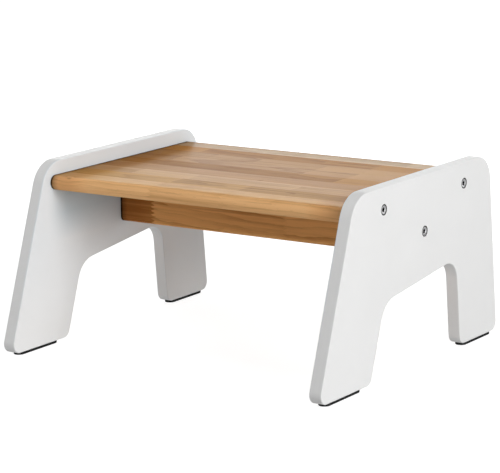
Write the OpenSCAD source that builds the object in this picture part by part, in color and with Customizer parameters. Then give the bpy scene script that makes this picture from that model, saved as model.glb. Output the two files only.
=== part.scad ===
// Step stool: two painted side panels carry an edge-glued wooden step, with one stretcher rail under it.
// +X runs to the stool's right, +Y to its back and +Z up. The origin is on the floor, under the middle of the stool.

/* [Overall] */
// Width over both side panels
overall_w = 400; // [340:1:460]
// Height of a side panel without its pads
panel_h = 197; // [185:1:215]
// Thickness of a side panel
panel_t = 14.5; // [12:0.5:18]

/* [Side panel outline] */
// Length of the underside, from the sharp front corner to the sharp rear corner
base_l = 361; // [350:1:390]
// How far the front edge leans back over the panel's height
front_lean = 70; // [55:1:80]
// How far the rear edge leans forward over the panel's height
rear_lean = 17; // [10:1:25]
// Length of the front foot along the floor
front_foot_l = 96.5; // [88:0.5:105]
// Length of the rear foot along the floor
rear_foot_l = 80.5; // [74:0.5:88]
// Height of the arch at the front leg
arch_front_h = 79; // [70:1:84]
// Height of the arch at the rear leg
arch_rear_h = 96; // [88:1:99]
// Radius of the top front corner
top_front_r = 33; // [25:1:38]
// Radius of the top rear corner
top_rear_r = 28; // [20:1:34]
// Radius of the corners of both feet
foot_r = 10; // [6:1:12]
// Radius between the arch and the front leg
arch_front_r = 30; // [20:1:34]
// Radius between the arch and the rear leg
arch_rear_r = 22; // [15:1:26]

/* [Step] */
// Thickness of the step board
step_t = 16; // [14:0.5:20]
// Radius of the step's rear edges, mm (the front edge is a half-round)
step_rear_r = 3; // [1:0.5:7]
// How far the panels stand above the step
step_lip = 15; // [10:1:20]
// Distance from the base's front corner back to the step's nose
step_front = 74.3; // [70:0.1:80]
// Number of glued staves in the step board
stave_count = 9; // [9:1:9]
// Depth of one stave
stave_d = 28.1; // [27:0.1:29]

/* [Stretcher rail] */
// Thickness of the rail
rail_t = 18; // [16:0.5:20]
// Height of the rail
rail_h = 55; // [45:1:56]
// Radius of the stretcher rail's two lower edges, mm
rail_edge_r = 5; // [1:0.5:8]
// Distance from the base's front corner back to the middle of the rail
rail_mid = 205; // [200:1:210]

/* [Screws and dowels] */
// Diameter of a screw's head
head_d = 10; // [9:0.5:11]
// Diameter of a screw's shank and of its thread's crests
shank_d = 7; // [5:0.5:7]
// Diameter of the thread's core
core_d = 5; // [4:0.5:5]
// Length of a screw
screw_l = 50; // [40:1:60]
// Distance from one thread ridge to the next
thread_pitch = 3; // [2:0.5:4]
// Width of the hexagonal socket across its corners
socket_d = 4.6; // [3.5:0.1:5]
// Depth of the hexagonal socket
socket_depth = 3; // [2:0.5:3.5]
// Distance from the step's nose back to the front screws
front_screw_inset = 49.5; // [46:0.5:52]
// Distance from the step's rear edge forward to the rear screws
rear_screw_inset = 39.5; // [37:0.5:42]
// How far below the rail's upper edge its screws are
rail_screw_drop = 28.5; // [24:0.5:30]
// Diameter of the dowels
dowel_d = 8; // [6:1:8]
// Length of the dowels
dowel_l = 30; // [24:1:34]
// How far the dowels reach into the side panels
dowel_in_panel = 8; // [6:1:9]
// Distance from the rail's screws down to its dowels
dowel_drop = 15; // [12:1:16]

/* [Pads] */
// Thickness of the pads under the feet
pad_t = 3; // [2:0.5:4]
// Width of the pads
pad_w = 12.5; // [9:0.5:12.5]
// Distance from the front foot's sharp front corner to its pad
front_pad_start = 15; // [14:1:20]
// Length of the front pads
front_pad_l = 66; // [50:1:70]
// Distance from the rear foot's front corner to its pad
rear_pad_start = 8; // [7:1:12]
// Length of the rear pads
rear_pad_l = 63; // [45:1:63]

/* [Hidden] */
SIDES = [["left", -1], ["right", 1]];
STAVES = [for (i = [1:stave_count]) i];
$fn = 96;

paint = [0.93, 0.93, 0.92];
pine = [0.82, 0.63, 0.42];
pine_shade = [0.72, 0.5, 0.3];
beech = [0.86, 0.74, 0.56];
steel = [0.72, 0.72, 0.73];
black = [0.06, 0.06, 0.06];

inner_x = overall_w / 2 - panel_t;
front_slope = front_lean / panel_h;
rear_slope = rear_lean / panel_h;
rear_foot_front = base_l - rear_foot_l;

// The sharp corners of a side panel, in the order front base, front top, rear top, rear base, then the arch
outline = [
    [0, 0],
    [front_lean, panel_h],
    [base_l - rear_lean, panel_h],
    [base_l, 0],
    [rear_foot_front, 0],
    [rear_foot_front - rear_slope * arch_rear_h, arch_rear_h],
    [front_foot_l + front_slope * arch_front_h, arch_front_h],
    [front_foot_l, 0]
];
radii = [foot_r, top_front_r, top_rear_r, foot_r, foot_r, arch_rear_r, arch_front_r, foot_r];
arc_steps = 14;

function unit(v) = v / norm(v);
function to_previous(i) = unit(outline[(i + 7) % 8] - outline[i]);
function to_next(i) = unit(outline[(i + 1) % 8] - outline[i]);
function half_angle(i) = acos(to_previous(i) * to_next(i)) / 2;
function tangent_l(i) = radii[i] / tan(half_angle(i));
function arc_centre(i) =
    outline[i] + unit(to_previous(i) + to_next(i)) * radii[i] / sin(half_angle(i));

function short_turn(a) = a > 180 ? a - 360 : a < -180 ? a + 360 : a;
function corner_arc(i) =
    let (
        c = arc_centre(i),
        first = outline[i] + to_previous(i) * tangent_l(i) - c,
        last = outline[i] + to_next(i) * tangent_l(i) - c,
        start = atan2(first[1], first[0]),
        turn = short_turn(atan2(last[1], last[0]) - start)
    )
    [for (k = [0:arc_steps]) c + radii[i] * [cos(start + turn * k / arc_steps), sin(start + turn * k / arc_steps)]];

// The rounded feet set the panel's real front and rear, so the stool's middle lies between them
front_extent = arc_centre(0)[0] - foot_r;
rear_extent = arc_centre(3)[0] + foot_r;
y_shift = -(front_extent + rear_extent) / 2;

step_top = pad_t + panel_h - step_lip;
step_mid = step_top - step_t / 2;
step_d = stave_count * stave_d;
rail_top = step_top - step_t;
rail_screw_z = rail_top - rail_screw_drop;
front_screw_y = y_shift + step_front + front_screw_inset;
rear_screw_y = y_shift + step_front + step_d - rear_screw_inset;
rail_y = y_shift + rail_mid;
dowel_z = rail_screw_z - dowel_drop;

// The head is a thin disc on a cone, and its seat has the same cone
head_gap = 0.2;
head_rim = 1.2;
head_cone = (head_d - shank_d) / 2;
neck_l = 2;
tip_l = 3;
thread_start = panel_t + neck_l;
ridge_count = floor((screw_l - tip_l - thread_start) / thread_pitch);
bore_l = screw_l - panel_t + 2;

// Turns a profile drawn in depth and height so that its extrusion runs along X
module along_x() {
    rotate([90, 0, 90]) children();
}

// Cuts a screw's hole and head seat inwards from the outer face at x = 0, towards -X
module screw_seat() {
    seat_r = head_d / 2 + head_gap;
    rotate([0, -90, 0]) rotate_extrude() polygon([
        [0, -1],
        [seat_r, -1],
        [seat_r, head_rim - head_gap],
        [shank_d / 2, head_rim + head_cone],
        [shank_d / 2, panel_t + 1],
        [0, panel_t + 1]
    ]);
}

module side_panel(side) {
    color(paint) mirror([side < 0 ? 1 : 0, 0, 0]) difference() {
        translate([inner_x, y_shift, pad_t]) along_x() linear_extrude(panel_t)
            polygon([for (i = [0:7]) for (p = corner_arc(i)) p]);
        translate([overall_w / 2, front_screw_y, step_mid]) screw_seat();
        translate([overall_w / 2, rear_screw_y, step_mid]) screw_seat();
        translate([overall_w / 2, rail_y, rail_screw_z]) screw_seat();
        translate([inner_x - 1, rail_y, dowel_z])
            rotate([0, 90, 0]) cylinder(d = dowel_d, h = dowel_in_panel + 1);
    }
}

// A bore into both ends of a board, from each side panel's inner face
module end_bores(y, z, d, depth) {
    for (s = SIDES) translate([s[1] * inner_x, y, z])
        rotate([0, -s[1] * 90, 0]) translate([0, 0, -1]) cylinder(d = d, h = depth + 1);
}

// A square-edged stave, or one with a half-round front edge (-1) or two rounded rear edges (1)
module stave_profile(edge) {
    r = step_t / 2;
    if (edge == 0) {
        square([stave_d, step_t]);
    } else if (edge < 0) {
        translate([r, 0]) square([stave_d - r, step_t]);
        translate([r, r]) circle(r = r);
    } else {
        e = step_rear_r;
        square([stave_d - e, step_t]);
        translate([0, e]) square([stave_d, step_t - 2 * e]);
        for (z = [e, step_t - e]) translate([stave_d - e, z]) circle(r = e);
    }
}

module step_stave(i) {
    edge = i == 1 ? -1 : i == stave_count ? 1 : 0;
    start = step_front + (i - 1) * stave_d;
    color(i % 2 == 0 ? pine_shade : pine) difference() {
        translate([-inner_x, y_shift + start, step_top - step_t])
            along_x() linear_extrude(2 * inner_x) stave_profile(edge);
        for (y = [front_screw_y, rear_screw_y])
            if (y > y_shift + start && y < y_shift + start + stave_d)
                end_bores(y, step_mid, shank_d, bore_l);
    }
}

module stretcher_rail() {
    e = rail_edge_r;
    color(pine_shade) difference() {
        translate([-inner_x, rail_y - rail_t / 2, rail_top - rail_h]) along_x() linear_extrude(2 * inner_x) {
            translate([0, e]) square([rail_t, rail_h - e]);
            translate([e, 0]) square([rail_t - 2 * e, e]);
            for (y = [e, rail_t - e]) translate([y, e]) circle(r = e);
        }
        end_bores(rail_y, rail_screw_z, shank_d, bore_l);
        end_bores(rail_y, dowel_z, dowel_d, dowel_l - dowel_in_panel);
    }
}

// The screw points towards -X with the top of its head at x = 0
module screw(side, y, z) {
    crest = shank_d / 2;
    core = core_d / 2;
    ridges = [for (k = [0:ridge_count - 1]) for (p = [[core, 0.2], [crest, 0.5], [core, 0.8]])
        [p[0], thread_start + (k + p[1]) * thread_pitch]];
    color(steel) mirror([side < 0 ? 1 : 0, 0, 0]) translate([overall_w / 2, y, z]) difference() {
        rotate([0, -90, 0]) rotate_extrude() polygon(concat(
            [[0, 0], [head_d / 2, 0], [head_d / 2, head_rim], [crest, head_rim + head_cone]],
            [[crest, panel_t], [core, panel_t + 1]],
            ridges,
            [[core, screw_l - tip_l], [0, screw_l]]
        ));
        rotate([0, -90, 0]) translate([0, 0, -1]) cylinder(d = socket_d, h = socket_depth + 1, $fn = 6);
    }
}

module rail_dowel(side) {
    start = side * (inner_x + dowel_in_panel);
    color(beech) translate([start, rail_y, dowel_z])
        rotate([0, -side * 90, 0]) cylinder(d = dowel_d, h = dowel_l);
}

module foot_pad(side, start, length) {
    r = pad_w / 2;
    mid = side * (overall_w - panel_t) / 2;
    color(black) translate([mid, y_shift + start, 0]) linear_extrude(pad_t) {
        translate([-r, r]) square([pad_w, length - pad_w]);
        translate([0, r]) circle(r = r);
        translate([0, length - r]) circle(r = r);
    }
}

for (s = SIDES)
    side_panel(s[1]);
for (i = STAVES)
    step_stave(i);
stretcher_rail();
for (s = SIDES)
    screw(s[1], front_screw_y, step_mid);
for (s = SIDES)
    screw(s[1], rear_screw_y, step_mid);
for (s = SIDES)
    screw(s[1], rail_y, rail_screw_z);
for (s = SIDES)
    rail_dowel(s[1]);
for (s = SIDES)
    foot_pad(s[1], front_pad_start, front_pad_l);
for (s = SIDES)
    foot_pad(s[1], rear_foot_front + rear_pad_start, rear_pad_l);
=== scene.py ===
import math

import bmesh
import bpy
from mathutils import Matrix, Vector


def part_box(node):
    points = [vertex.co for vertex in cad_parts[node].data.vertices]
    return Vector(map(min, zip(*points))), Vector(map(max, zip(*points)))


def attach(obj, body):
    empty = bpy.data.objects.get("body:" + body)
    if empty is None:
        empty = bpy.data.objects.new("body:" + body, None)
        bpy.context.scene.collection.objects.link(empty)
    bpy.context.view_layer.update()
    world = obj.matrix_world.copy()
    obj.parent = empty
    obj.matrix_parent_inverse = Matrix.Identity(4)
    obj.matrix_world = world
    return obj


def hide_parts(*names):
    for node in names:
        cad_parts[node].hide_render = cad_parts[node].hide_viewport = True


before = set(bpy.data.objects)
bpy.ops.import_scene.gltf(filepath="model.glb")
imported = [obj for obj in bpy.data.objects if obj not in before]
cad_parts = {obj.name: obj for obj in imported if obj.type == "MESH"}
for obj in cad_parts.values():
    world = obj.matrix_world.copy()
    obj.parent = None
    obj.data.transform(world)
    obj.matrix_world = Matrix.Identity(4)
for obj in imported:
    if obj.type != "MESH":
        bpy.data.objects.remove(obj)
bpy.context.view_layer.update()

BODY = "root"
SIDES = {"left": -1, "right": 1}
MM = 1000  # millimetres in a metre


# ---------------------------------------------------------------- places taken from the frame
panel_lo, panel_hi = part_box("right_side_panel")
rail_lo, rail_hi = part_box("stretcher_rail")
stave_names = [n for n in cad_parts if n.startswith("step_stave_")]
stave_names.sort(key=lambda n: int(n.rsplit("_", 1)[1]))
nose_lo, nose_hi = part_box(stave_names[0])
panel_h = panel_hi.z - panel_lo.z
inner_x = panel_lo.x
outer_x = panel_hi.x
step_top = nose_hi.z
step_bottom = nose_lo.z
step_front = nose_lo.y


def screw_axis(node):
    """(y, z) of a screw's axis."""
    lo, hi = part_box(node)
    return (lo.y + hi.y) / 2, (lo.z + hi.z) / 2


screw_axes = [screw_axis(n) for n in ("step_screw_front_right", "step_screw_rear_right", "rail_screw_right")]


# ---------------------------------------------------------------- meshes
SHARP_EDGE = math.radians(38)
FACE_WEIGHT = 80


def new_piece(name, bm, node, material):
    """Turns a bmesh into a piece that stands for one CAD node."""
    bmesh.ops.recalc_face_normals(bm, faces=bm.faces)
    for face in bm.faces:
        face.smooth = True
    for edge in bm.edges:
        edge.smooth = len(edge.link_faces) == 2 and edge.calc_face_angle(0) < SHARP_EDGE
    mesh = bpy.data.meshes.new(name)
    bm.to_mesh(mesh)
    bm.free()
    mesh.materials.append(material)
    piece = bpy.data.objects.new(name, mesh)
    bpy.context.scene.collection.objects.link(piece)
    normals = piece.modifiers.new("even shading", "WEIGHTED_NORMAL")
    normals.keep_sharp = True
    normals.weight = FACE_WEIGHT
    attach(piece, BODY)
    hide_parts(node)
    return piece


def ring_of(bm, points):
    """A ring of new vertices."""
    return [bm.verts.new(p) for p in points]


def skin(bm, rings):
    """Joins closed rings, which all have the same number of vertices, with quads."""
    for low, high in zip(rings, rings[1:]):
        for k in range(len(low)):
            j = (k + 1) % len(low)
            bm.faces.new((low[k], low[j], high[j], high[k]))


def cap(bm, rings):
    """Closes the first and the last ring with one face each."""
    bm.faces.new(rings[0])
    bm.faces.new(rings[-1])


def edges_round(bm, ring):
    """The edges between a ring's neighbouring vertices."""
    return [bm.edges.get((a, b)) for a, b in zip(ring, ring[1:] + ring[:1])]


def full_turn(steps):
    """Angles that divide a circle into steps."""
    return [2 * math.pi * t / steps for t in range(steps)]


def arc(centre_y, centre_z, radius, start, turn, steps=28):
    """Points along an arc, as pairs."""
    angles = [start + turn * s / steps for s in range(steps + 1)]
    return [(centre_y + radius * math.cos(a), centre_z + radius * math.sin(a)) for a in angles]


# ---------------------------------------------------------------- side panels
# The outline before its corners are rounded, with the CAD's numbers: lengths along the floor, and heights
# from the panel's underside, in metres
BASE_L = 0.361
FRONT_LEAN = 0.070
REAR_LEAN = 0.017
FRONT_FOOT_L = 0.0965
REAR_FOOT_L = 0.0805
ARCH_FRONT_H = 0.079
ARCH_REAR_H = 0.096
FOOT_R = 0.010
TOP_FRONT_R = 0.033
TOP_REAR_R = 0.028
ARCH_FRONT_R = 0.030
ARCH_REAR_R = 0.022
CORNER_STEPS = 20
# The small round between the panel's faces and its edge
ARRIS_R = 0.0012
ARRIS_STEPS = 6
# The hole for a screw's head, from the outer face inwards: radius and depth in millimetres. It is 0.25 to
# 0.3 mm wider than the CAD's, and 0.6 mm at its mouth.
SEAT_PROFILE = [(5.8, 0), (5.65, 0.05), (5.55, 0.2), (5.5, 0.5), (5.45, 1.2), (3.5, 2.8), (3.5, 5.0)]
SEAT_TURNS = 48


def panel_outline():
    """Points round the panel and the outward direction at each, with every corner as an arc."""
    front, rear = FRONT_LEAN / panel_h, REAR_LEAN / panel_h
    rear_foot = BASE_L - REAR_FOOT_L
    corners = [
        ((0, 0), FOOT_R),
        ((FRONT_LEAN, panel_h), TOP_FRONT_R),
        ((BASE_L - REAR_LEAN, panel_h), TOP_REAR_R),
        ((BASE_L, 0), FOOT_R),
        ((rear_foot, 0), FOOT_R),
        ((rear_foot - rear * ARCH_REAR_H, ARCH_REAR_H), ARCH_REAR_R),
        ((FRONT_FOOT_L + front * ARCH_FRONT_H, ARCH_FRONT_H), ARCH_FRONT_R),
        ((FRONT_FOOT_L, 0), FOOT_R),
    ]
    found = []
    for k, (corner, radius) in enumerate(corners):
        p = Vector(corner)
        back = (Vector(corners[k - 1][0]) - p).normalized()
        ahead = (Vector(corners[(k + 1) % len(corners)][0]) - p).normalized()
        half = back.angle(ahead) / 2
        centre = p + (back + ahead).normalized() * radius / math.sin(half)
        first = p + back * radius / math.tan(half) - centre
        last = p + ahead * radius / math.tan(half) - centre
        turn = math.atan2(first.x * last.y - first.y * last.x, first.dot(last))
        start = math.atan2(first.y, first.x)
        outward = 1 if turn < 0 else -1
        for s in range(CORNER_STEPS + 1):
            a = start + turn * s / CORNER_STEPS
            spoke = Vector((math.cos(a), math.sin(a)))
            found.append((centre + spoke * radius, spoke * outward))
    shift = panel_lo.y - min(p.x for p, _ in found)
    return [(p + Vector((shift, panel_lo.z)), n) for p, n in found]


def seat_rings(bm, y, z, side):
    """The rings of a seat for a screw's head. The first one lies in the panel's outer face."""
    rings = []
    for r, depth in SEAT_PROFILE:
        x = side * outer_x - side * depth / MM
        spokes = full_turn(SEAT_TURNS)
        rings.append(ring_of(bm, [(x, y + r / MM * math.cos(a), z + r / MM * math.sin(a)) for a in spokes]))
    return rings


def side_panel(side):
    """An arched panel with eased edges and three seats in its outer face."""
    bm = bmesh.new()
    outline = panel_outline()
    rings = []
    for face_x, inwards, order in ((side * outer_x, -side, 1), (side * inner_x, side, -1)):
        group = []
        for s in range(ARRIS_STEPS + 1):
            a = math.pi / 2 * s / ARRIS_STEPS
            inset = ARRIS_R * (1 - math.sin(a))
            x = face_x + inwards * ARRIS_R * (1 - math.cos(a))
            group.append(ring_of(bm, [(x, p.x - n.x * inset, p.y - n.y * inset) for p, n in outline]))
        rings += group[::order]
    skin(bm, rings)
    bm.faces.new(rings[-1])
    rim = edges_round(bm, rings[0])
    for y, z in screw_axes:
        seat = seat_rings(bm, y, z, side)
        skin(bm, seat)
        bm.faces.new(seat[-1])
        rim += edges_round(bm, seat[0])
    bmesh.ops.triangle_fill(bm, edges=rim, use_beauty=True, use_dissolve=False)
    return bm


# ---------------------------------------------------------------- boards
END_EASE = 0.0003
STEP_REAR_R = 0.003
RAIL_EDGE_R = 0.005
QUARTER = math.pi / 2
QUARTER_STEPS = 10


def board(profile_of, half_l):
    """A board along X with eased ends. profile_of(inset) gives its (y, z) outline, with its free faces moved
    inwards by inset."""
    bm = bmesh.new()
    ends = ((-half_l, END_EASE), (-half_l + END_EASE, 0), (half_l - END_EASE, 0), (half_l, END_EASE))
    rings = [ring_of(bm, [(x, y, z) for y, z in profile_of(inset)]) for x, inset in ends]
    skin(bm, rings)
    cap(bm, rings)
    return bm


def stave(node):
    """One stave: half round in front on the first one, two small rounds at the back on the last one."""
    lo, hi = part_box(node)
    mid = (lo.z + hi.z) / 2

    def profile(inset):
        r = (hi.z - lo.z) / 2 - inset
        if node == stave_names[0]:
            return [(hi.y, mid - r), (hi.y, mid + r)] + arc(lo.y + r + inset, mid, r, QUARTER, math.pi)
        if node == stave_names[-1]:
            e = STEP_REAR_R
            rear = hi.y - e - inset
            lower = arc(rear, mid - r + e, e, -QUARTER, QUARTER, QUARTER_STEPS)
            upper = arc(rear, mid + r - e, e, 0, QUARTER, QUARTER_STEPS)
            return [(lo.y, mid + r), (lo.y, mid - r)] + lower + upper
        return [(lo.y, mid - r), (hi.y, mid - r), (hi.y, mid + r), (lo.y, mid + r)]

    return board(profile, hi.x)


def rail():
    """The stretcher rail, with its two lower edges rounded."""
    def profile(inset):
        front, rear, e = rail_lo.y + inset, rail_hi.y - inset, RAIL_EDGE_R
        low = rail_lo.z + inset + e
        curve = arc(front + e, low, e, math.pi, QUARTER, QUARTER_STEPS)
        curve += arc(rear - e, low, e, 3 * QUARTER, QUARTER, QUARTER_STEPS)
        return curve + [(rear, rail_hi.z), (front, rail_hi.z)]

    return board(profile, rail_hi.x)


# ---------------------------------------------------------------- screws and pads
# Lengths and radii in millimetres
HEAD_RECESS = 0.25
SOCKET_R = 2.1
SOCKET_D = 2.8
SHANK_R = 3.5
CORE_R = 2.5
THREAD_START = 16.5
THREAD_PITCH = 3
THREAD_COUNT = 10
# From the socket's mouth over the flat of the head to its rim: depth below the flat, and radius
HEAD_PROFILE = [(0.35, 2.6), (0.08, 3.0), (0, 3.3), (0, 4.4), (0.06, 4.75), (0.22, 4.93), (0.45, 5.0)]
# From the underside of the head to the thread, and the point: depth below the panel's face, and radius
NECK_PROFILE = [(1.2, 5.0), (2.7, SHANK_R), (14.5, SHANK_R), (15.5, CORE_R)]
POINT_PROFILE = [(47.0, CORE_R), (50.0, 0.1)]
SCREW_TURNS = 60


def screw_ring(bm, side, axis, depth, radius, hexagon=False):
    """A ring round a screw's axis: a circle, or a hexagon that is radius from its middle to its flats."""
    y, z = axis
    x = side * (outer_x - depth / MM)
    points = []
    for a in full_turn(SCREW_TURNS):
        r = radius
        if hexagon:
            r = radius / math.cos((a + math.pi / 6) % (math.pi / 3) - math.pi / 6)
        points.append((x, y + r / MM * math.cos(a), z + r / MM * math.sin(a)))
    return ring_of(bm, points)


def screw(side, node):
    """The head with its hexagonal socket, the shank, and ten ridges for the thread."""
    axis = screw_axis(node)
    bm = bmesh.new()
    bottom = HEAD_RECESS + SOCKET_D
    hexagons = [(bottom, SOCKET_R * 0.05), (bottom, SOCKET_R), (HEAD_RECESS + 0.6, SOCKET_R)]
    circles = [(HEAD_RECESS + depth, radius) for depth, radius in HEAD_PROFILE] + NECK_PROFILE
    for k in range(THREAD_COUNT):
        start = THREAD_START + THREAD_PITCH * k
        circles += [(start + 0.6, CORE_R), (start + 1.5, SHANK_R), (start + 2.4, CORE_R)]
    circles += POINT_PROFILE
    rings = [screw_ring(bm, side, axis, depth, radius, True) for depth, radius in hexagons]
    rings += [screw_ring(bm, side, axis, depth, radius) for depth, radius in circles]
    skin(bm, rings)
    cap(bm, rings)
    return bm


PAD_EASE = 0.0006
PAD_END_STEPS = 16


def pad(node):
    """A strip with round ends, a round lower edge and a small chamfer at the top."""
    lo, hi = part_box(node)
    r = (hi.x - lo.x) / 2
    x = (lo.x + hi.x) / 2
    bm = bmesh.new()

    def ring(height, inset):
        rear = arc(x, hi.y - r, r - inset, 0, math.pi, PAD_END_STEPS)
        front = arc(x, lo.y + r, r - inset, math.pi, math.pi, PAD_END_STEPS)
        return ring_of(bm, [(px, py, height) for px, py in rear + front])

    rings = [ring(lo.z, PAD_EASE)]
    for degrees in (22, 45, 67, 90):
        a = math.radians(degrees)
        rings.append(ring(lo.z + PAD_EASE * (1 - math.cos(a)), PAD_EASE * (1 - math.sin(a))))
    rings += [ring(hi.z - PAD_EASE / 2, 0), ring(hi.z, PAD_EASE / 2)]
    skin(bm, rings)
    cap(bm, rings)
    return bm


# ---------------------------------------------------------------- tools for the materials
class Graph:
    """Short calls that build one material's nodes."""

    def __init__(self, name):
        self.material = bpy.data.materials.new(name)
        self.material.use_nodes = True
        self.tree = self.material.node_tree
        self.tree.nodes.clear()
        self.out = self.node("ShaderNodeOutputMaterial")
        self.shader = self.node("ShaderNodeBsdfPrincipled")
        self.link(self.shader.outputs["BSDF"], self.out.inputs["Surface"])

    def node(self, kind, **settings):
        made = self.tree.nodes.new(kind)
        for key, value in settings.items():
            setattr(made, key, value)
        return made

    def link(self, source, target):
        self.tree.links.new(source, target)

    def give(self, socket, value):
        if isinstance(value, bpy.types.NodeSocket):
            self.link(value, socket)
        else:
            socket.default_value = value

    def math(self, operation, a, b=0.0, c=0.0):
        made = self.node("ShaderNodeMath", operation=operation)
        for socket, value in zip(made.inputs, (a, b, c)):
            self.give(socket, value)
        return made.outputs[0]

    def position(self):
        return self.node("ShaderNodeTexCoord").outputs["Object"]

    def parts(self, vector):
        made = self.node("ShaderNodeSeparateXYZ")
        self.link(vector, made.inputs[0])
        return made.outputs[0], made.outputs[1], made.outputs[2]

    def vector(self, x, y, z):
        made = self.node("ShaderNodeCombineXYZ")
        for socket, value in zip(made.inputs, (x, y, z)):
            self.give(socket, value)
        return made.outputs[0]

    def stretch(self, vector, scale, offset=(0, 0, 0)):
        made = self.node("ShaderNodeMapping")
        self.link(vector, made.inputs["Vector"])
        self.give(made.inputs["Location"], offset)
        made.inputs["Scale"].default_value = scale
        return made.outputs[0]

    def noise(self, vector, scale, detail=3.0, roughness=0.55, distortion=0.0):
        made = self.node("ShaderNodeTexNoise")
        self.link(vector, made.inputs["Vector"])
        made.inputs["Scale"].default_value = scale
        made.inputs["Detail"].default_value = detail
        made.inputs["Roughness"].default_value = roughness
        made.inputs["Distortion"].default_value = distortion
        return made.outputs["Fac"]

    def distance(self, vector, place):
        made = self.node("ShaderNodeVectorMath", operation="DISTANCE")
        self.link(vector, made.inputs[0])
        made.inputs[1].default_value = place
        return made.outputs["Value"]

    def clamp(self, value):
        made = self.node("ShaderNodeClamp")
        self.link(value, made.inputs[0])
        return made.outputs[0]

    def random(self, value):
        """Three numbers from 0 to 1 that depend on value alone."""
        made = self.node("ShaderNodeTexWhiteNoise", noise_dimensions="1D")
        self.give(made.inputs["W"], value)
        split = self.node("ShaderNodeSeparateColor")
        self.link(made.outputs["Color"], split.inputs[0])
        return split.outputs[0], split.outputs[1], split.outputs[2]

    def range(self, value, low, high, to_low=0.0, to_high=1.0):
        made = self.node("ShaderNodeMapRange")
        for socket, number in zip(made.inputs, (value, low, high, to_low, to_high)):
            self.give(socket, number)
        return made.outputs[0]

    def mix(self, factor, a, b, blend="MIX"):
        made = self.node("ShaderNodeMix", data_type="RGBA", blend_type=blend)
        self.give(made.inputs[0], factor)
        self.give(made.inputs[6], (*a, 1) if isinstance(a, tuple) else a)
        self.give(made.inputs[7], (*b, 1) if isinstance(b, tuple) else b)
        return made.outputs[2]

    def ramp(self, value, stops):
        made = self.node("ShaderNodeValToRGB")
        self.give(made.inputs[0], value)
        elements = made.color_ramp.elements
        while len(elements) < len(stops):
            elements.new(0.5)
        for element, (place, level) in zip(elements, stops):
            element.position = place
            element.color = (level, level, level, 1)
        return made.outputs[0]

    def bump(self, height, strength, distance, normal=None):
        made = self.node("ShaderNodeBump")
        made.inputs["Strength"].default_value = strength
        made.inputs["Distance"].default_value = distance
        self.link(height, made.inputs["Height"])
        if normal is not None:
            self.link(normal, made.inputs["Normal"])
        return made.outputs[0]

    def set(self, **values):
        for key, value in values.items():
            self.give(self.shader.inputs[key.replace("_", " ")], value)


def from_screw(g, y, z):
    """Distance from the axis of the nearest screw."""
    nearest = None
    for screw_y, screw_z in screw_axes:
        gap = g.distance(g.vector(0.0, y, z), (0.0, screw_y, screw_z))
        nearest = gap if nearest is None else g.math("MINIMUM", nearest, gap)
    return nearest


def times(tone, factors):
    """A colour times another, part by part."""
    return tuple(c * k for c, k in zip(tone, factors))


# ---------------------------------------------------------------- white paint
PAINT_LOW = (0.825, 0.825, 0.820)
PAINT_HIGH = (0.850, 0.850, 0.846)
PAINT_COAT = 0.12
# What the paint is multiplied by on the panels' inner faces, a painted cool tint against the warm light from
# the wood, and there in the space just under the step, painted shade
INNER_PAINTED_COOL = (0.995, 1.030, 1.060)
PAINTED_SHADE_BELOW_STEP = (0.75, 0.82, 0.86)
# The painted shade in the screws' seats, and the radii between which it ends
SEAT_PAINTED_SHADE = (0.05, 0.045, 0.04)
SEAT_SHADE_RADII = (0.00565, 0.00575)


def on_inner_face(g, x):
    """1 on the faces that look at each other, and 0 elsewhere."""
    return g.range(g.math("ABSOLUTE", x), inner_x + 0.0008, inner_x + 0.003, 1.0, 0.0)


def below_step_shade_mask(g, y, z):
    """The mask of the painted shade under the step: it rises to 1 from 57 to 27 mm below the step and from
    its front edge back, and ends at its underside.

    The end is a fade over the first 4 mm above the underside.
    """
    rise = g.range(z, step_bottom - 0.057, step_bottom - 0.027)
    below = g.math("MULTIPLY", rise, g.range(z, step_bottom, step_bottom + 0.004, 1.0, 0.0))
    return g.math("MULTIPLY", below, g.range(y, step_front - 0.006, step_front + 0.026))


def white_paint():
    """Satin paint: nearly even white with faint roller texture.

    Light and shade are painted in too: the inner faces get a cool tint against the warm light from the wood,
    less so near the floor, painted shade darkens them just under the step, and the seats of the screws' heads
    are nearly black with painted shade.
    """
    g = Graph("white satin paint")
    p = g.position()
    cloud = g.noise(p, 14, 4)
    orange_peel = g.noise(p, 900, 2, 0.5)
    fine = g.noise(p, 3800, 1, 0.5)
    base = g.mix(g.range(cloud, 0.3, 0.7), PAINT_LOW, PAINT_HIGH)
    x, y, z = g.parts(p)
    inside = on_inner_face(g, x)
    # Painted light and shade: a cool tint on the inner faces, and shade just under the step
    cool = g.math("MULTIPLY", inside, g.range(z, 0.020, 0.120, 0.15, 1.0))
    shade_below_step = g.math("MULTIPLY", below_step_shade_mask(g, y, z), inside)
    base = g.mix(cool, base, INNER_PAINTED_COOL, "MULTIPLY")
    base = g.mix(shade_below_step, base, PAINTED_SHADE_BELOW_STEP, "MULTIPLY")
    # Painted shade: the screws' seats turn nearly black
    base = g.mix(g.range(from_screw(g, y, z), *SEAT_SHADE_RADII, 1.0, 0.0), base, SEAT_PAINTED_SHADE)
    g.set(Base_Color=base, Roughness=g.range(orange_peel, 0.3, 0.7, 0.44, 0.52))
    g.set(Specular_IOR_Level=0.0, Coat_Weight=PAINT_COAT, Coat_Roughness=0.3)
    first = g.bump(orange_peel, 0.12, 0.0004)
    g.set(Normal=g.bump(fine, 0.05, 0.0001, first))
    return g.material


# ---------------------------------------------------------------- pine
LACQUER_COAT = 0.12
LACQUER_ROUGHNESS = 0.25
# What a board's middle colour is multiplied by in its palest and deepest wood, in resin and knots, and in the
# painted shade at a rounded rear edge
PALE = (1.22, 1.28, 1.40)
DEEP = (0.58, 0.46, 0.30)
BURNT = (0.28, 0.20, 0.14)
# The teeth of a finger joint: half their pitch across the thickness, and how steep they are
TOOTH = 0.0022
TOOTH_SLOPE = 2.6
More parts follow.
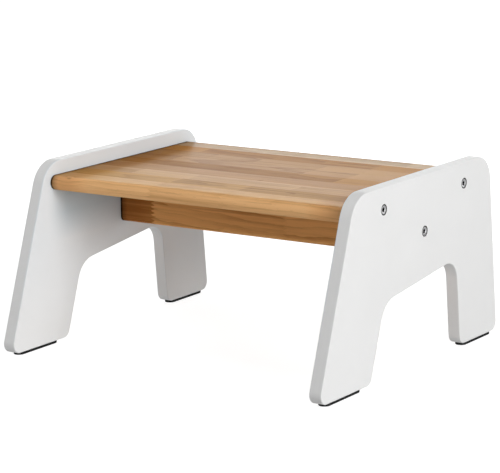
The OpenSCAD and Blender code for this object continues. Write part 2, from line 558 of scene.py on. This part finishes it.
# How much the pith's place varies in y and z from one block of wood to another, and how much it sways along x
PITH_SPREAD_Y = 0.024
PITH_SPREAD_Z = 0.016
PITH_SWAY = 0.020
# How dark one year's ring is, from its early wood to its late wood
RING_SHADE = [(0.0, 0.05), (0.40, 0.15), (0.78, 0.70), (0.92, 1.0), (0.99, 0.05)]
# How much the bands of several years, the streaks and the fibres count
BAND = 0.50
STREAK = 1.25
FIBRE = 0.45
# The wood's last centimetres: painted shade from the panel inwards, and a warm painted shade tint nearer than
# TINT_OUT
END_FADE = 0.050
END_PAINTED_SHADE = [(0.0, 0.02), (0.026, 0.03), (0.07, 0.55), (0.2, 0.86), (0.5, 0.90), (0.9, 1.0)]
END_WARM_SHADE = (0.98, 0.90, 0.84)
TINT_FULL = 0.028
TINT_OUT = 0.050


def finger_joints(g, x, z, seed, first_shade, joints):
    """The number of the block of wood at a point, and how much darker that block is."""
    toothed = g.math("MULTIPLY_ADD", g.math("PINGPONG", z, TOOTH), TOOTH_SLOPE, x)
    block, shade, last = seed, first_shade, first_shade
    for place, change in joints:
        beyond = g.math("GREATER_THAN", toothed, place)
        block = g.math("ADD", beyond, block)
        shade = g.math("MULTIPLY_ADD", beyond, change - last, shade)
        last = change
    return block, shade


def pith_of_block(g, x, block, pith, tilt):
    """Where the middle of the tree lies along the wood, in y and z, and one random number more."""
    off_y, off_z, phase = g.random(block)
    lean_y, lean_z, roll = g.random(g.math("ADD", block, 31.7))
    slow = g.noise(g.vector(g.math("MULTIPLY", x, 7.0), g.math("MULTIPLY", phase, 9.0), roll), 1.0, 2)
    sway = g.math("MULTIPLY", g.math("SUBTRACT", slow, 0.5), PITH_SWAY)
    slope_y = g.math("MULTIPLY", g.math("SUBTRACT", lean_y, 0.5), 2 * tilt[0])
    slope_z = g.math("MULTIPLY", g.math("SUBTRACT", lean_z, 0.5), 2 * tilt[1])
    pith_y = g.math("ADD", g.math("MULTIPLY", x, slope_y), sway)
    place_y = g.math("MULTIPLY_ADD", off_y, PITH_SPREAD_Y, pith[0] - PITH_SPREAD_Y / 2)
    place_z = g.math("MULTIPLY_ADD", off_z, PITH_SPREAD_Z, pith[1] - PITH_SPREAD_Z / 2)
    return g.math("ADD", pith_y, place_y), g.math("ADD", g.math("MULTIPLY", x, slope_z), place_z), phase


def bowed(g, x, pith_z, start, depth, lowest):
    """The pith's height with a bow in it, which is lowest at x = lowest and stays level before x = start."""
    along = g.math("SUBTRACT", g.math("MAXIMUM", x, start), lowest)
    return g.math("ADD", pith_z, g.math("MULTIPLY", g.math("MULTIPLY", along, along), depth))


def growth_rings(g, p, from_y, from_z, rings_per_m):
    """The number of years from the pith, with a ripple along the wood."""
    squares = g.math("ADD", g.math("MULTIPLY", from_y, from_y), g.math("MULTIPLY", from_z, from_z))
    ripple = g.noise(g.stretch(p, (16, 95, 95)), 1.0, 3)
    distance = g.math("SQRT", squares)
    return g.math("ADD", g.math("MULTIPLY", distance, rings_per_m), g.math("MULTIPLY", ripple, 1.2))


def late_wood(g, rings, seed):
    """The dark part of each ring. Some years are fainter than others."""
    late = g.ramp(g.math("FRACT", rings), RING_SHADE)
    year = g.noise(g.vector(g.math("FLOOR", rings), seed, 0.0), 1.7, 1)
    return g.math("MULTIPLY", late, g.range(year, 0.3, 0.7, 0.25, 1.3))


def resin_canals(g, p, seed):
    """Short dark marks along the grain."""
    canal = g.noise(g.stretch(p, (120, 1900, 1900), (3.1, seed * 7.3, 1.7)), 1.0, 1)
    return g.ramp(canal, [(0.0, 0.0), (0.69, 0.0), (0.77, 1.0)])


def paint_shade_at_ends(g, x, colour):
    """Painted shade: the wood darkens toward its ends, where the panels shade it, to a thin black line of
    painted shadow where it meets the paint.
    """
    from_end = g.math("SUBTRACT", inner_x, g.math("ABSOLUTE", x))
    colour = g.mix(1.0, colour, g.ramp(g.range(from_end, 0.0, END_FADE), END_PAINTED_SHADE), "MULTIPLY")
    return g.mix(g.range(from_end, TINT_FULL, TINT_OUT, 1.0, 0.0), colour, END_WARM_SHADE, "MULTIPLY")


def pine(name, seed, tone, first_shade, joints, pith, tilt, rings_per_m=200.0, contrast=1.0, latewood=0.42,
         bow=None, front=None, knot=None, back=None, gloss=LACQUER_COAT):
    """Clear-lacquered finger-jointed pine with its grain along X.

    tone is the wood's middle colour. first_shade is how much darker the wood is before its first finger
    joint, and joints lists (x, shade): from x on, the wood is darker by shade. pith is the (y, z) of the
    middle of the tree, and tilt how fast it may move in y and z along x. latewood is how dark the rings are.
    bow is (how deep, x): the grain dips in a bow whose lowest point is at x. front is a (y, tone) pair:
    before that y the wood has another middle colour. knot is the (x, y, z) of a small knot. back is the y of
    a rounded rear edge, where the lacquer is thin and the wood is browned with painted shade. gloss is the
    lacquer's weight.
    """
    g = Graph(name)
    p = g.position()
    x, y, z = g.parts(p)
    block, shade = finger_joints(g, x, z, seed + 1, first_shade, joints)
    pith_y, pith_z, phase = pith_of_block(g, x, block, pith, tilt)
    if bow is not None:
        pith_z = bowed(g, x, pith_z, joints[0][0], *bow)
    rings = growth_rings(g, p, g.math("SUBTRACT", y, pith_y), g.math("SUBTRACT", z, pith_z), rings_per_m)
    if knot is not None:
        from_knot = g.distance(g.stretch(p, (0.6, 1, 1)), (knot[0] * 0.6, knot[1], knot[2]))
        rings = g.math("ADD", rings, g.range(from_knot, 0.001, 0.012, 0.9, 0.0))
    rings = g.math("ADD", rings, g.math("MULTIPLY", phase, 5.0))

    late = late_wood(g, rings, seed)
    band = g.noise(g.vector(g.math("MULTIPLY", x, 2.5), g.math("MULTIPLY", rings, 0.33), seed), 1.0, 2)
    streak = g.noise(g.stretch(p, (4.5, 330, 330), (seed * 1.3, 0, 0)), 1.0, 3, 0.6)
    fibre = g.noise(g.stretch(p, (32, 2600, 2600)), 1.0, 3, 0.6)
    darkness = g.math("MULTIPLY_ADD", late, latewood, 0.32 - 0.3 * latewood)
    for part, weight in ((band, BAND), (streak, STREAK * contrast), (fibre, FIBRE)):
        darkness = g.math("ADD", darkness, g.math("MULTIPLY_ADD", part, weight, -weight / 2))
    darkness = g.clamp(g.math("ADD", darkness, shade))

    pale, deep, burnt = times(tone, PALE), times(tone, DEEP), times(tone, BURNT)
    # On the first stave the front tone is painted light on the half round
    if front is not None:
        before = g.range(y, front[0] - 0.003, front[0] + 0.003, 1.0, 0.0)
        pale = g.mix(before, pale, times(front[1], PALE))
        deep = g.mix(before, deep, times(front[1], DEEP))
    colour = g.mix(darkness, pale, deep)
    colour = g.mix(g.math("MULTIPLY", resin_canals(g, p, seed), 0.35), colour, burnt)
    if knot is not None:
        colour = g.mix(g.range(from_knot, 0.0006, 0.0024, 0.32, 0.0), colour, burnt)
    # Painted shade toward the ends, where the wood meets the panels
    colour = paint_shade_at_ends(g, x, colour)
    coat = gloss
    if back is not None:
        # Painted shade: the wood browns toward the rounded rear edge, where the lacquer also thins
        colour = g.mix(g.range(y, back - 0.018, back - 0.006, 0.0, 0.14), colour, burnt)
        coat = g.range(y, back - 0.010, back - 0.003, gloss, 0.02)
    g.set(Base_Color=colour, Roughness=g.range(fibre, 0.25, 0.75, 0.42, 0.52), Specular_IOR_Level=0.0)
    g.set(Coat_Weight=coat, Coat_Roughness=LACQUER_ROUGHNESS)
    relief = g.math("SUBTRACT", g.math("MULTIPLY", fibre, 0.5), g.math("MULTIPLY", late, 0.25))
    g.set(Normal=g.bump(relief, 0.12, 0.0003))
    return g.material


# ---------------------------------------------------------------- zinc, rubber and beech
ZINC_LOW = (0.70, 0.70, 0.71)
ZINC_HIGH = (0.86, 0.86, 0.87)
# Painted shade in each screw's socket and round its head's rim
ZINC_PAINTED_SHADE = (0.03, 0.03, 0.03)
RUBBER_LOW = (0.007, 0.007, 0.007)
RUBBER_HIGH = (0.016, 0.016, 0.016)
BEECH_LOW = (0.62, 0.42, 0.25)
BEECH_HIGH = (0.72, 0.53, 0.34)
BEECH_FLECK = (0.35, 0.18, 0.08)


def zinc():
    """Bright zinc plate, slightly uneven. The socket in the middle and the head's rim are coloured dark with
    painted shade.
    """
    g = Graph("zinc plate")
    p = g.position()
    grain = g.noise(g.stretch(p, (400, 3000, 3000)), 1.0, 3)
    blotch = g.noise(p, 700, 2)
    x, y, z = g.parts(p)
    away = from_screw(g, y, z)
    # Painted shade in the socket and round the rim
    dark = g.math("MAXIMUM", g.range(away, 0.0021, 0.0026, 1.0, 0.0), g.range(away, 0.0043, 0.0047))
    g.set(Base_Color=g.mix(dark, g.mix(blotch, ZINC_LOW, ZINC_HIGH), ZINC_PAINTED_SHADE), Metallic=1.0)
    g.set(Roughness=g.range(grain, 0.3, 0.7, 0.34, 0.50))
    g.set(Normal=g.bump(grain, 0.08, 0.0001))
    return g.material


def rubber():
    """Matt black rubber with a pebbled skin."""
    g = Graph("black rubber")
    p = g.position()
    grit = g.noise(p, 2600, 3, 0.6)
    dust = g.noise(p, 160, 3)
    g.set(Base_Color=g.mix(dust, RUBBER_LOW, RUBBER_HIGH))
    g.set(Roughness=g.range(grit, 0.3, 0.7, 0.75, 0.92), Specular_IOR_Level=0.25)
    g.set(Normal=g.bump(grit, 0.35, 0.0002))
    return g.material


def beech():
    """Bare beech with short dark flecks along its grain."""
    g = Graph("bare beech")
    p = g.position()
    fleck = g.ramp(g.noise(g.stretch(p, (300, 1800, 1800)), 1.0, 2), [(0.0, 0.0), (0.62, 0.0), (0.7, 1.0)])
    cloud = g.noise(g.stretch(p, (20, 200, 200)), 1.0, 3)
    base = g.mix(cloud, BEECH_LOW, BEECH_HIGH)
    g.set(Base_Color=g.mix(g.math("MULTIPLY", fleck, 0.5), base, BEECH_FLECK), Roughness=0.6)
    g.set(Normal=g.bump(cloud, 0.1, 0.0002))
    return g.material


# ---------------------------------------------------------------- the pieces
# For each stave from the front: its middle colour, its shade before the first finger joint, its finger joints
# with the shade after each, and its gloss. The colours, shades and gloss were fitted to the photo's average
# colours, region by region. The first stave's joints at -0.053 and 0.038 were seen in the photo, and the
# others are made up.
STAVES = [
    ((0.52, 0.29, 0.105), -0.30, [(-0.053, -0.10), (0.038, -0.24), (0.100, -0.36)], 0.12),
    ((0.490, 0.262, 0.073), 0.06, [(-0.050, 0.18), (0.038, 0.42), (0.100, 0.26)], 0.102),
    ((0.50, 0.290, 0.120), 0.14, [(-0.120, -0.08), (-0.045, 0.0), (0.085, 0.02)], 0.12),
    ((0.415, 0.210, 0.070), 0.10, [(-0.135, 0.06), (0.030, 0.0)], 0.12),
    ((0.390, 0.182, 0.040), 0.14, [(-0.132, 0.24), (-0.050, 0.20), (0.045, -0.02), (0.100, -0.20)], 0.090),
    ((0.41, 0.207, 0.062), 0.30, [(-0.130, 0.05), (0.045, -0.12), (0.100, -0.38)], 0.12),
    ((0.41, 0.205, 0.056), 0.14, [(-0.100, 0.08), (-0.040, 0.04), (0.045, -0.10), (0.100, -0.32)], 0.12),
    ((0.385, 0.174, 0.036), -0.20, [(-0.130, 0.05), (0.030, -0.06), (0.095, -0.40)], 0.088),
    ((0.50, 0.345, 0.195), 0.02, [(-0.060, -0.05), (0.120, -0.10)], 0.12),
]
STAVE_SEED = 11.0
STAVE_SEED_STEP = 17
STAVE_TILT = (0.02, 0.06)
STAVE_PITH_DEPTH = 0.045
# The half-round front edge is paler than the rest of its stave, a tone of painted light, and has a small knot
NOSE_PAINTED_LIGHT = (0.77, 0.425, 0.175)
NOSE_DEPTH = 0.007
KNOT_FROM_LEFT = 0.023
KNOT_FROM_FRONT = 0.004
KNOT_FROM_TOP = 0.0011

# The rail's colours were fitted in the same way, and both of its joints were seen in the photo
RAIL_SEED = 5.0
RAIL_TONE = (0.74, 0.355, 0.115)
RAIL_FIRST_SHADE = 0.72
RAIL_JOINTS = [(-0.138, 0.0), (0.037, -0.15)]
RAIL_PITH = (rail_lo.y + 0.030, rail_lo.z - 0.060)
RAIL_TILT = (0.02, 0.01)
RAIL_RINGS_PER_M = 125.0
RAIL_CONTRAST = 1.15
RAIL_LATEWOOD = 0.62
RAIL_BOW = (0.51, 0.030)


def make_panels():
    paint = white_paint()
    for name, side in SIDES.items():
        new_piece(f"{name}_panel_shell", side_panel(side), f"{name}_side_panel", paint)


def stave_wood(k):
    """The wood of one stave. The first has the pale front edge of painted light and the knot, the last the
    round rear edge with its painted shade.
    """
    tone, first_shade, joints, gloss = STAVES[k]
    lo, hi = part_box(stave_names[k])
    front = knot = back = None
    if k == 0:
        front = (lo.y + NOSE_DEPTH, NOSE_PAINTED_LIGHT)
        knot = (lo.x + KNOT_FROM_LEFT, lo.y + KNOT_FROM_FRONT, step_top - KNOT_FROM_TOP)
    if k == len(stave_names) - 1:
        back = hi.y
    seed = STAVE_SEED + STAVE_SEED_STEP * k
    pith = ((lo.y + hi.y) / 2, step_top - STAVE_PITH_DEPTH)
    return pine(f"pine stave {k + 1}", seed, tone, first_shade, joints, pith, STAVE_TILT,
                front=front, knot=knot, back=back, gloss=gloss)


def make_step():
    for k, node in enumerate(stave_names):
        new_piece(f"stave_{k + 1}_wood", stave(node), node, stave_wood(k))


def make_rail():
    wood = pine("pine rail", RAIL_SEED, RAIL_TONE, RAIL_FIRST_SHADE, RAIL_JOINTS, RAIL_PITH, RAIL_TILT,
                RAIL_RINGS_PER_M, RAIL_CONTRAST, RAIL_LATEWOOD, RAIL_BOW)
    new_piece("rail_wood", rail(), "stretcher_rail", wood)


def make_small_parts():
    """The screws and pads, and the wood of the dowels, which keep their CAD mesh."""
    steel = zinc()
    black = rubber()
    for name, side in SIDES.items():
        for part in ("step_screw_front", "step_screw_rear", "rail_screw"):
            node = f"{part}_{name}"
            new_piece(f"{node}_body", screw(side, node), node, steel)
        for part in ("front_pad", "rear_pad"):
            node = f"{part}_{name}"
            new_piece(f"{node}_strip", pad(node), node, black)
        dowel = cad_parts[f"rail_dowel_{name}"]
        dowel.data.materials.clear()
        dowel.data.materials.append(beech())


# ---------------------------------------------------------------- stage, light and camera
PAPER_LOW = (0.30, 0.30, 0.30)
PAPER_HIGH = (0.32, 0.32, 0.32)
PAPER_GLOW = (0.85, 1.05)
PAPER_GLOW_REACH = (0.3, 1.2)
FLOOR_LOW = (0.19, 0.19, 0.19)
FLOOR_HIGH = (0.21, 0.21, 0.21)
FLOOR_GLOW = 0.34
WHITE = (1.0, 1.0, 1.0, 1.0)
# In metres: the flat's inner ring and its edge, how much lower the dull floor lies, the radius of the paper's
# sweep, and the (radius, height) of its top
FLOOR_IN = 1.0
FLOOR_OUT = 8.0
FLOOR_DROP = 0.001
SWEEP_R = 8.0
PAPER_TOP = [(14.0, 16.0), (2.0, 20.0)]
STAGE_TURNS = 96


def seamless_paper():
    """The white paper that the camera sees, which glows a little more away from the stool."""
    g = Graph("white paper")
    cloud = g.noise(g.position(), 3, 2)
    g.set(Base_Color=g.mix(cloud, PAPER_LOW, PAPER_HIGH), Roughness=0.9, Specular_IOR_Level=0.0)
    reach = g.node("ShaderNodeVectorMath", operation="LENGTH")
    g.link(g.position(), reach.inputs[0])
    glow = g.range(reach.outputs["Value"], *PAPER_GLOW_REACH, *PAPER_GLOW)
    g.set(Emission_Color=WHITE, Emission_Strength=glow)
    return g.material


def dull_floor():
    """The floor that sends light back up at the stool."""
    g = Graph("dull floor")
    cloud = g.noise(g.position(), 3, 2)
    g.set(Base_Color=g.mix(cloud, FLOOR_LOW, FLOOR_HIGH), Roughness=0.9, Specular_IOR_Level=0.0)
    g.set(Emission_Color=WHITE, Emission_Strength=FLOOR_GLOW)
    return g.material


def stage_piece(name, profile, material, to_camera):
    """A dish turned about the Z axis from (radius, height) points, for the camera or else for the light."""
    bm = bmesh.new()
    angles = full_turn(STAGE_TURNS)
    rings = []
    for radius, height in profile:
        rings.append(ring_of(bm, [(radius * math.cos(a), radius * math.sin(a), height) for a in angles]))
    skin(bm, rings)
    bm.faces.new(rings[0])
    mesh = bpy.data.meshes.new(name)
    bm.to_mesh(mesh)
    bm.free()
    mesh.materials.append(material)
    piece = bpy.data.objects.new(name, mesh)
    piece.visible_camera = to_camera
    piece.visible_diffuse = not to_camera
    piece.visible_glossy = not to_camera
    piece.visible_transmission = not to_camera
    piece.visible_shadow = not to_camera
    bpy.context.scene.collection.objects.link(piece)


def set_the_stage():
    """A bowl of paper for the camera alone: flat, a quarter round, then closing in. A floor for the light."""
    sweep = [(FLOOR_IN, 0.0), (FLOOR_OUT, 0.0)]
    for degrees in range(10, 100, 10):
        a = math.radians(degrees)
        sweep.append((FLOOR_OUT + SWEEP_R * math.sin(a), SWEEP_R - SWEEP_R * math.cos(a)))
    stage_piece("paper", sweep + PAPER_TOP, seamless_paper(), True)
    stage_piece("floor", [(FLOOR_IN, -FLOOR_DROP), (FLOOR_OUT, -FLOOR_DROP)], dull_floor(), False)


# Name, azimuth from +X toward +Y, elevation, distance, width, height and brightness. The brightnesses, and
# FLOOR_GLOW, are a least-squares fit to the photo's shades, rounded, with the key turned down a little.
LAMPS = [
    ("key", -18, 18, 2.6, 1.2, 1.5, 8.4),
    ("key top", -25, 48, 2.6, 1.3, 1.0, 0.4),
    ("back", 90, 14, 2.6, 1.5, 1.0, 9.8),
    ("back left low", 124, 9, 2.9, 1.3, 0.8, 6.9),
    ("back left", 152, 24, 2.6, 1.4, 1.6, 2.3),
    ("left", -165, 22, 2.6, 1.5, 1.3, 2.1),
    ("front left", -125, 30, 1.3, 0.5, 0.5, 3.0),
    ("overhead", 0, 88, 2.6, 1.6, 1.6, 1.8),
]
# The point that the lamps face, and the brightness of the light from all round
LAMPS_FACE = Vector((0, 0, 0.1))
WORLD = 0.01


def softbox(name, azimuth, elevation, distance, width, height, brightness):
    """A soft lamp that faces the stool and is as bright as the number says all over."""
    lamp = bpy.data.lights.new(name, "AREA")
    lamp.shape = "RECTANGLE"
    lamp.size = width
    lamp.size_y = height
    lamp.energy = brightness * math.pi * width * height
    turn, rise = math.radians(azimuth), math.radians(elevation)
    level = math.cos(rise)
    away = Vector((level * math.cos(turn), level * math.sin(turn), math.sin(rise)))
    holder = bpy.data.objects.new(name, lamp)
    holder.location = LAMPS_FACE + away * distance
    holder.rotation_euler = (-away).to_track_quat("-Z", "Y").to_euler()
    holder.visible_camera = False
    bpy.context.scene.collection.objects.link(holder)


def light_the_stage():
    """The lamps, and a trace of light from all round."""
    world = bpy.data.worlds.new("studio")
    world.use_nodes = True
    background = world.node_tree.nodes["Background"]
    background.inputs["Color"].default_value = WHITE
    background.inputs["Strength"].default_value = WORLD
    bpy.context.scene.world = world
    for lamp in LAMPS:
        softbox(*lamp)


# Where the photo was taken from, solved from the stool's straight edges: degrees, metres and millimetres
CAMERA_AZIMUTH = 34.34
CAMERA_ELEVATION = 11.95
CAMERA_ROLL = -1.0
CAMERA_TARGET = Vector((0.0, -0.0026, 0.1187))
CAMERA_DISTANCE = 2.4448
CAMERA_SENSOR = 36.0
CAMERA_LENS = 164.94
CAMERA_CLIP = (0.1, 100.0)


def place_camera():
    """The camera looks at the stool from its front right, a little above."""
    azimuth, elevation, roll = (math.radians(d) for d in (CAMERA_AZIMUTH, CAMERA_ELEVATION, CAMERA_ROLL))
    flat = math.cos(elevation)
    view = Vector((-math.sin(azimuth) * flat, math.cos(azimuth) * flat, -math.sin(elevation)))
    level = Vector((math.cos(azimuth), math.sin(azimuth), 0))
    up = level.cross(view)
    right = level * math.cos(roll) + up * math.sin(roll)
    top = up * math.cos(roll) - level * math.sin(roll)
    camera = bpy.data.cameras.new("camera")
    camera.sensor_width = CAMERA_SENSOR
    camera.lens = CAMERA_LENS
    camera.clip_start, camera.clip_end = CAMERA_CLIP
    holder = bpy.data.objects.new("camera", camera)
    turn = Matrix((right, top, -view)).transposed().to_4x4()
    holder.matrix_world = Matrix.Translation(CAMERA_TARGET - view * CAMERA_DISTANCE) @ turn
    bpy.context.scene.collection.objects.link(holder)
    bpy.context.scene.camera = holder


# ---------------------------------------------------------------- the scene
make_panels()
make_step()
make_rail()
make_small_parts()
set_the_stage()
light_the_stage()
place_camera()
bpy.context.scene.view_settings.view_transform = "Standard"
